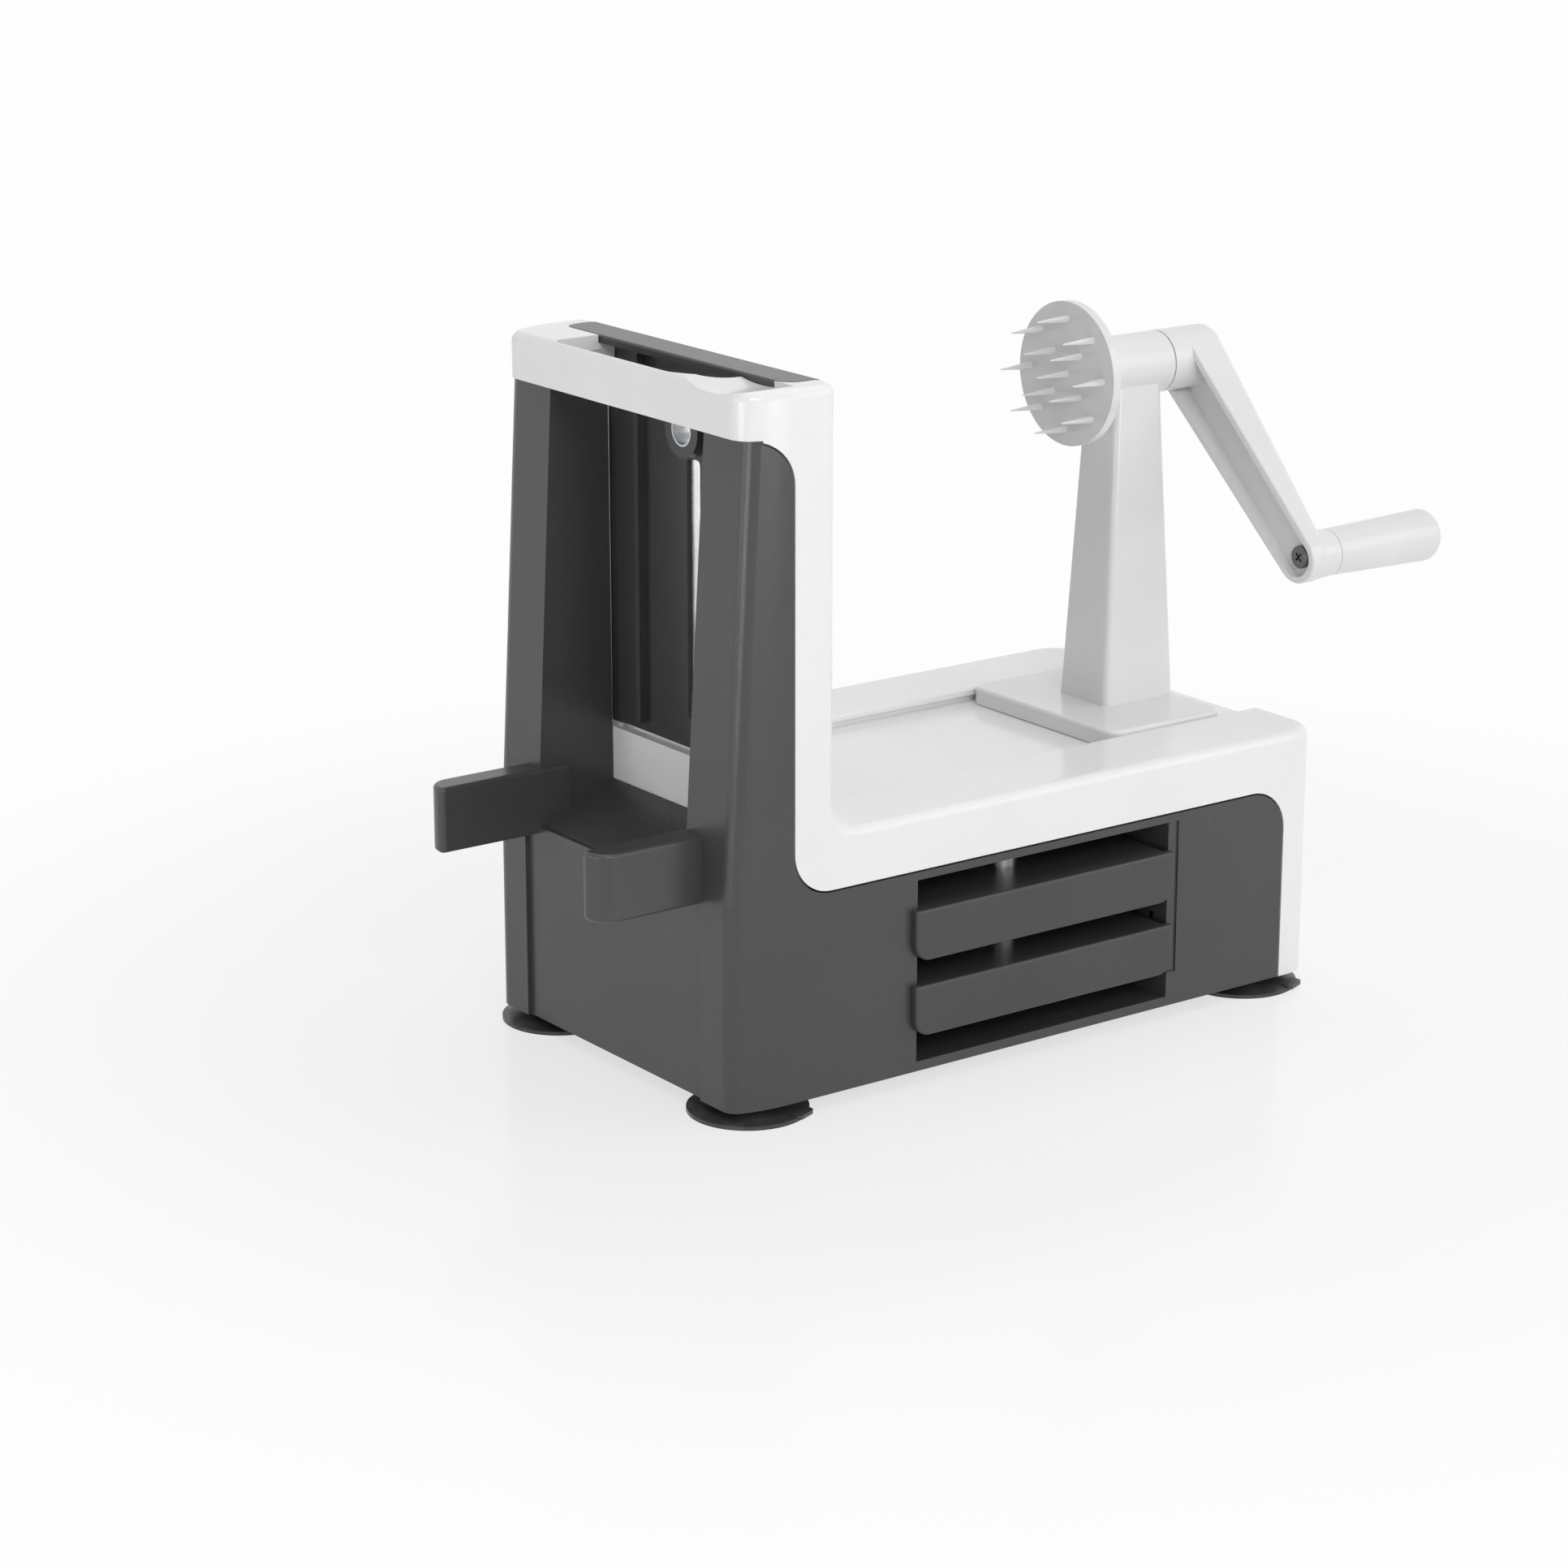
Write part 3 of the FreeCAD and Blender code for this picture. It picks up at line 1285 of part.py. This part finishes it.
def check_all():
    document.recompute()
    faults = []
    for item in document.Objects:
        if any(state in ("Invalid", "Error") for state in item.State):
            parents = [parent.Label for parent in item.InList]
            faults.append(f"{item.Label} in {parents}: {item.State}")
    for body in sub_parts:
        if body.Shape.isNull() or not body.Shape.isValid():
            faults.append(f"{body.Label} has no valid shape")
        elif len(body.Shape.Solids) != 1:
            faults.append(f"{body.Label} has {len(body.Shape.Solids)} solids")
    if faults:
        raise RuntimeError("; ".join(faults))


def write_all():
    os.makedirs("parts", exist_ok=True)
    for body in sub_parts:
        body.Shape.exportStep(f"parts/{body.Label}.step")
        print(f"{body.Label}: {body.Shape.Volume / 1000:.2f} cm3")


build_all()
check_all()
write_all()
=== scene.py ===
# Hand-cranked spiralizer: finishes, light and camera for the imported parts
import json
import math

import bpy
from mathutils import Matrix, Vector

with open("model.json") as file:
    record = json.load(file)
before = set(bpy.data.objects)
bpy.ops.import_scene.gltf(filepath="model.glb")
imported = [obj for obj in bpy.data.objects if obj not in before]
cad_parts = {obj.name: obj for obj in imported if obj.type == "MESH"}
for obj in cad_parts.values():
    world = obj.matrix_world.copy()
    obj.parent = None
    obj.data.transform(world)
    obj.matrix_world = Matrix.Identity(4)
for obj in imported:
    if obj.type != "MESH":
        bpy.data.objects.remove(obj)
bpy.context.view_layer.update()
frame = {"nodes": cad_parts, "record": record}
print("loaded", len(frame["nodes"]), "parts")

colourMix = {"low": 6, "high": 7, "out": 2}  # the colour sockets of a Mix node
speck = {"core": 0.08, "edge": 0.24, "softness": 0.004}  # in widths of one cell
white = (1, 1, 1, 1)


class Wire:  # one output of a node; arithmetic on it adds Math nodes
    def __init__(self, finish, socket):
        self.finish = finish
        self.socket = socket

    def sum(self, operation, *values):
        return self.finish.node("ShaderNodeMath", {"operation": operation}, dict(enumerate(values)))

    def __add__(self, other):
        return self.sum("ADD", self, other)

    def __radd__(self, other):
        return self.sum("ADD", other, self)

    def __sub__(self, other):
        return self.sum("SUBTRACT", self, other)

    def __rsub__(self, other):
        return self.sum("SUBTRACT", other, self)

    def __mul__(self, other):
        return self.sum("MULTIPLY", self, other)

    def __rmul__(self, other):
        return self.sum("MULTIPLY", other, self)

    def larger(self, other):
        return self.sum("MAXIMUM", self, other)

    def between(self, low, high):  # 0 at low, 1 at high, smooth in between
        settings = {"interpolation_type": "SMOOTHSTEP"}
        sockets = {"Value": self, "From Min": low, "From Max": high}
        return self.finish.node("ShaderNodeMapRange", settings, sockets)

    def at(self, name):  # another output of the same node
        return Wire(self.finish, self.socket.node.outputs[name])


class Finish:  # the node graph of a material or of the room
    def __init__(self, holder, coordinates="Object"):
        holder.use_nodes = True
        self.holder = holder
        self.tree = holder.node_tree
        self.tree.nodes.clear()
        self.place = self.node("ShaderNodeTexCoord").at(coordinates)

    def node(self, kind, settings={}, sockets={}):
        made = self.tree.nodes.new(kind)
        for name, value in settings.items():
            setattr(made, name, value)
        for name, value in sockets.items():
            socket = made.inputs[name]
            if isinstance(value, Wire):
                self.tree.links.new(value.socket, socket)
            else:
                socket.default_value = value
        return Wire(self, next((out for out in made.outputs if out.enabled), None))

    def noise(self, size, detail, stretch=(1, 1, 1), roughness=0.5):
        # size is the width of one blotch in metres
        scaled = self.node("ShaderNodeMapping", {}, {"Vector": self.place, "Scale": stretch})
        return self.node("ShaderNodeTexNoise", {}, {
            "Vector": scaled, "Scale": 1 / size, "Detail": detail, "Roughness": roughness})

    def specks(self, size, share):  # 1 inside a few round specks, 0 elsewhere
        cells = self.node("ShaderNodeTexVoronoi", {"feature": "F1"}, {
            "Vector": self.place, "Scale": 1 / size})
        chance = self.node("ShaderNodeSeparateColor", {}, {"Color": cells.at("Color")})
        chosen = chance.between(1 - share, 1 - share + speck["softness"])
        return chosen * (1 - cells.between(speck["core"], speck["edge"]))

    def blend(self, low, high, mask):
        sockets = {"Factor": mask, colourMix["low"]: low, colourMix["high"]: high}
        return self.node("ShaderNodeMix", {"data_type": "RGBA"}, sockets).at(colourMix["out"])

    def bump(self, height, depth=1.0):
        sockets = {"Height": height, "Distance": depth, "Strength": 1.0}
        return self.node("ShaderNodeBump", {}, sockets)

    def mixShaders(self, share, first, second):
        return self.node("ShaderNodeMixShader", {}, {0: share, 1: first, 2: second})

    def close(self, colour, roughness, normal, **fixed):
        sockets = {"Base Color": colour, "Roughness": roughness, "Normal": normal}
        sockets.update({name.replace("_", " "): value for name, value in fixed.items()})
        surface = self.node("ShaderNodeBsdfPrincipled", {}, sockets)
        self.node("ShaderNodeOutputMaterial", {}, {"Surface": surface})
        return self.holder


def newFinish(name):
    return Finish(bpy.data.materials.new(name))


# the plastics: sizes and depths are in metres, colours run from darker to lighter
greyShell = {
    "darker": (0.054, 0.054, 0.056, 1), "lighter": (0.062, 0.062, 0.064, 1),
    "flowSize": 0.09, "flowStretch": (1.0, 1.0, 0.45), "flowDetail": 3, "waveDepth": 0.00003,
    "wearSize": 0.035, "wearDetail": 4, "wearEdge": 0.62, "rubbed": 0.03, "rubbedFrom": 0.45,
    "rubbedTo": 0.75, "flowShare": 0.6, "shadeFrom": 0.3, "shadeTo": 0.7,
    "grainSize": 0.0007, "grainDetail": 2, "grainDepth": 0.000003, "grainRoughness": 0.04,
    "roughness": 0.29, "gloss": 0.42,
    "dustSize": 0.006, "dustShare": 0.05, "dustStrength": 0.03, "dustColour": (0.42, 0.42, 0.42, 1),
}
greyInsert = dict(
    greyShell, darker=(0.049, 0.049, 0.051, 1), lighter=(0.057, 0.057, 0.059, 1),
    roughness=0.30, flowSize=0.06, dustShare=0.02)
greyUnderside = dict(
    greyShell, darker=(0.046, 0.046, 0.049, 1), lighter=(0.058, 0.058, 0.061, 1),
    grainSize=0.0011, grainDepth=0.00003, roughness=0.55)
whiteShell = dict(
    greyShell, darker=(0.810, 0.810, 0.814, 1), lighter=(0.850, 0.850, 0.853, 1),
    flowSize=0.12, flowStretch=(0.5, 1.0, 1.0), waveDepth=0.00008, wearSize=0.05, rubbed=0.04,
    grainSize=0.0009, grainDepth=0.000002, grainRoughness=0.04, roughness=0.17, gloss=0.5,
    dustSize=0.007, dustShare=0.03, dustStrength=0.06, dustColour=(0.55, 0.54, 0.52, 1))
whiteCrank = dict(
    whiteShell, darker=(0.730, 0.730, 0.735, 1), lighter=(0.770, 0.770, 0.773, 1),
    flowSize=0.05, roughness=0.15)
whiteHolder = dict(whiteCrank, flowSize=0.03, dustShare=0.01)
bushNatural = dict(
    whiteCrank, darker=(0.62, 0.61, 0.56, 1), lighter=(0.68, 0.67, 0.62, 1), roughness=0.4)


def mouldedPlastic(name, look):
    # fine spark-eroded grain, broad flow marks and a little dust
    finish = newFinish(name)
    flow = finish.noise(look["flowSize"], look["flowDetail"], look["flowStretch"])
    grain = finish.noise(look["grainSize"], look["grainDetail"])
    wear = finish.noise(look["wearSize"], look["wearDetail"], roughness=look["wearEdge"])
    dust = finish.specks(look["dustSize"], look["dustShare"])
    patches = flow * look["flowShare"] + wear * (1 - look["flowShare"])
    shade = patches.between(look["shadeFrom"], look["shadeTo"])
    clean = finish.blend(look["darker"], look["lighter"], shade)
    colour = finish.blend(clean, look["dustColour"], dust * look["dustStrength"])
    rubbed = wear.between(look["rubbedFrom"], look["rubbedTo"])
    uneven = (grain - 0.5) * look["grainRoughness"]
    roughness = look["roughness"] + uneven - rubbed * look["rubbed"]
    height = grain * look["grainDepth"] + flow * look["waveDepth"]
    return finish.close(colour, roughness, finish.bump(height), Specular_IOR_Level=look["gloss"])


softRubber = {
    "dark": (0.036, 0.036, 0.037, 1), "worn": (0.060, 0.060, 0.062, 1), "roughness": 0.32,
    "grainSize": 0.0006, "grainDetail": 2, "grainDepth": 0.00002, "grainRoughness": 0.1,
    "wearSize": 0.012, "wearDetail": 4, "wearFrom": 0.42, "wearTo": 0.72, "wearRoughness": 0.16,
}


def rubberFoot(name, look):
    finish = newFinish(name)
    grain = finish.noise(look["grainSize"], look["grainDetail"])
    blotches = finish.noise(look["wearSize"], look["wearDetail"])
    wear = blotches.between(look["wearFrom"], look["wearTo"])
    colour = finish.blend(look["dark"], look["worn"], wear)
    uneven = (grain - 0.5) * look["grainRoughness"]
    roughness = look["roughness"] + wear * look["wearRoughness"] + uneven
    return finish.close(colour, roughness, finish.bump(grain, look["grainDepth"]))


bladeSteel = {
    "dark": (0.52, 0.53, 0.54, 1), "light": (0.70, 0.71, 0.72, 1), "roughness": 0.24,
    "scratchSize": 0.0004, "scratchDetail": 4, "scratchEdge": 0.7, "scratchShare": 0.7,
    "scratchRoughness": 0.22, "stretch": (1.0, 0.03, 0.03), "depth": 0.000006,
    "spotSize": 0.02, "spotDetail": 3, "spotFrom": 0.4, "spotTo": 0.7, "spotRoughness": 0.08,
}
pinSteel = dict(
    bladeSteel, dark=(0.11, 0.11, 0.115, 1), light=(0.24, 0.24, 0.245, 1),
    stretch=(0.05, 1.0, 1.0), roughness=0.36)


def groundSteel(name, look):
    # scratches along the piece, with slight water marks
    finish = newFinish(name)
    scratch = finish.noise(
        look["scratchSize"], look["scratchDetail"], look["stretch"], look["scratchEdge"])
    water = finish.noise(look["spotSize"], look["spotDetail"])
    spots = water.between(look["spotFrom"], look["spotTo"])
    patches = scratch * look["scratchShare"] + spots * (1 - look["scratchShare"])
    colour = finish.blend(look["dark"], look["light"], patches)
    uneven = (scratch - 0.5) * look["scratchRoughness"]
    roughness = look["roughness"] + uneven + spots * look["spotRoughness"]
    return finish.close(colour, roughness, finish.bump(scratch, look["depth"]), Metallic=1.0)


finishes = {
    "body_grey": mouldedPlastic("greyShell", greyShell),
    "insert_grey": mouldedPlastic("greyInsert", greyInsert),
    "underside_grey": mouldedPlastic("greyUnderside", greyUnderside),
    "cover_white": mouldedPlastic("whiteShell", whiteShell),
    "crank_white": mouldedPlastic("whiteCrank", whiteCrank),
    "holder_white": mouldedPlastic("whiteHolder", whiteHolder),
    "bush_plastic": mouldedPlastic("bushNatural", bushNatural),
    "foot_rubber": rubberFoot("softRubber", softRubber),
    "blade_steel": groundSteel("bladeSteel", bladeSteel),
    "pin_steel": groundSteel("pinSteel", pinSteel),
}
slotOf = {part["node"]: part["material_slot"] for part in frame["record"]["subparts"]}
for node, thing in frame["nodes"].items():
    thing.data.materials.clear()
    thing.data.materials.append(finishes[slotOf[node]])
print("finishes:", len(finishes))


def seenDirectly(finish):
    # 1 for rays that show the background: straight, mirrored or through glass
    path = finish.node("ShaderNodeLightPath")
    seen = path.at("Is Camera Ray").larger(path.at("Is Glossy Ray"))
    return seen.larger(path.at("Is Transmission Ray"))


bench = {
    "half": 6.0, "darker": (0.88, 0.88, 0.88, 1), "lighter": (0.90, 0.90, 0.90, 1),
    "mottleSize": 0.4, "mottleDetail": 2, "roughness": 0.16, "gloss": 0.35,
    "lift": 0.69, "fadeStart": 0.24, "fadeEnd": 0.56, "white": 0.985,
}


def makeBench():
    # lifted towards white where it is seen, wholly so away from the machine
    half = bench["half"]
    mesh = bpy.data.meshes.new("bench")
    corners = [(-half, -half, 0), (half, -half, 0), (half, half, 0), (-half, half, 0)]
    mesh.from_pydata(corners, [], [(0, 1, 2, 3)])
    thing = bpy.data.objects.new("bench", mesh)
    bpy.context.scene.collection.objects.link(thing)
    finish = newFinish("benchTop")
    mottle = finish.noise(bench["mottleSize"], bench["mottleDetail"])
    colour = finish.blend(bench["darker"], bench["lighter"], mottle)
    surface = finish.node("ShaderNodeBsdfPrincipled", {}, {
        "Base Color": colour, "Roughness": bench["roughness"],
        "Specular IOR Level": bench["gloss"]})
    glow = finish.node("ShaderNodeEmission", {}, {"Color": white, "Strength": bench["white"]})
    away = finish.node("ShaderNodeVectorMath", {"operation": "LENGTH"}, {0: finish.place})
    fade = away.at("Value").between(bench["fadeStart"], bench["fadeEnd"])
    share = bench["lift"] + fade * (1 - bench["lift"])
    mixed = finish.mixShaders(seenDirectly(finish) * share, surface, glow)
    finish.node("ShaderNodeOutputMaterial", {}, {"Surface": mixed})
    mesh.materials.append(finish.holder)


makeBench()

room = {
    "fromLeft": 0.17, "fromRight": 0.66, "leftEnd": -0.75, "rightEnd": 0.45, "seen": 0.985,
}


def makeRoom():
    # a white studio that gives more light on the crank's side than on the outlet's side
    world = bpy.data.worlds.new("studio")
    bpy.context.scene.world = world
    finish = Finish(world, "Generated")
    dim, bright, shown = (
        finish.node("ShaderNodeBackground", {}, {"Color": white, "Strength": room[strength]})
        for strength in ("fromLeft", "fromRight", "seen"))
    sideways = finish.node("ShaderNodeSeparateXYZ", {}, {"Vector": finish.place}).at("X")
    soft = finish.mixShaders(sideways.between(room["leftEnd"], room["rightEnd"]), dim, bright)
    mixed = finish.mixShaders(seenDirectly(finish), soft, shown)
    finish.node("ShaderNodeOutputWorld", {}, {"Surface": mixed})


makeRoom()
print("bench and room ready")

lamps = {
    "keySoftbox": {
        "at": (-0.75, -1.95, 1.18), "to": (0.0, 0.0, 0.16), "size": (1.0, 0.8), "power": 12.8},
    "lowStrip": {
        "at": (0.05, -1.45, 0.14), "to": (0.0, 0.0, 0.14), "size": (0.45, 0.2), "power": 1.7},
    "cornerStrip": {
        "at": (-1.5, -0.38, 0.08), "to": (-0.2, -0.06, 0.12), "size": (0.7, 0.1), "power": 2.8},
    "rightFill": {
        "at": (1.5, -1.7, 0.9), "to": (0.0, 0.0, 0.16), "size": (1.4, 1.2), "power": 6},
    "leftRim": {
        "at": (-1.7, 0.5, 0.30), "to": (-0.1, 0.0, 0.12), "size": (0.5, 0.7), "power": 3.6},
    "overhead": {
        "at": (0.1, 0.0, 2.0), "to": (0.0, 0.0, 0.1), "size": (2.2, 2.2), "power": 13.2},
}


def makeLamp(name, lamp):
    light = bpy.data.lights.new(name, "AREA")
    light.shape = "RECTANGLE"
    light.size, light.size_y = lamp["size"]
    light.energy = lamp["power"]
    thing = bpy.data.objects.new(name, light)
    thing.location = lamp["at"]
    ahead = Vector(lamp["to"]) - Vector(lamp["at"])
    thing.rotation_euler = ahead.to_track_quat("-Z", "Y").to_euler()
    thing.visible_camera = False
    bpy.context.scene.collection.objects.link(thing)


for name, lamp in lamps.items():
    makeLamp(name, lamp)
print("lamps:", len(lamps))

camera = {
    "place": (-1.02453, -1.29328, 0.58007), "heading": 36.252, "down": 16.531,  # degrees
    "focal": 5121.08, "frame": 1932.0,  # in pixels
    "sensor": 36.0, "clip": (0.05, 40.0),
}


def makeCamera():
    data = bpy.data.cameras.new("camera")
    data.sensor_width = camera["sensor"]
    data.lens = camera["sensor"] * camera["focal"] / camera["frame"]
    data.clip_start, data.clip_end = camera["clip"]
    heading = math.radians(camera["heading"])
    down = math.radians(camera["down"])
    level = Vector((math.sin(heading), math.cos(heading), 0))
    forward = level * math.cos(down) - Vector((0, 0, math.sin(down)))
    right = Vector((math.cos(heading), -math.sin(heading), 0))
    turn = Matrix((right, right.cross(forward), -forward)).transposed().to_4x4()
    thing = bpy.data.objects.new("camera", data)
    thing.matrix_world = Matrix.Translation(camera["place"]) @ turn
    bpy.context.scene.collection.objects.link(thing)
    bpy.context.scene.camera = thing


makeCamera()
bpy.context.scene.view_settings.view_transform = "Standard"
print("camera ready")
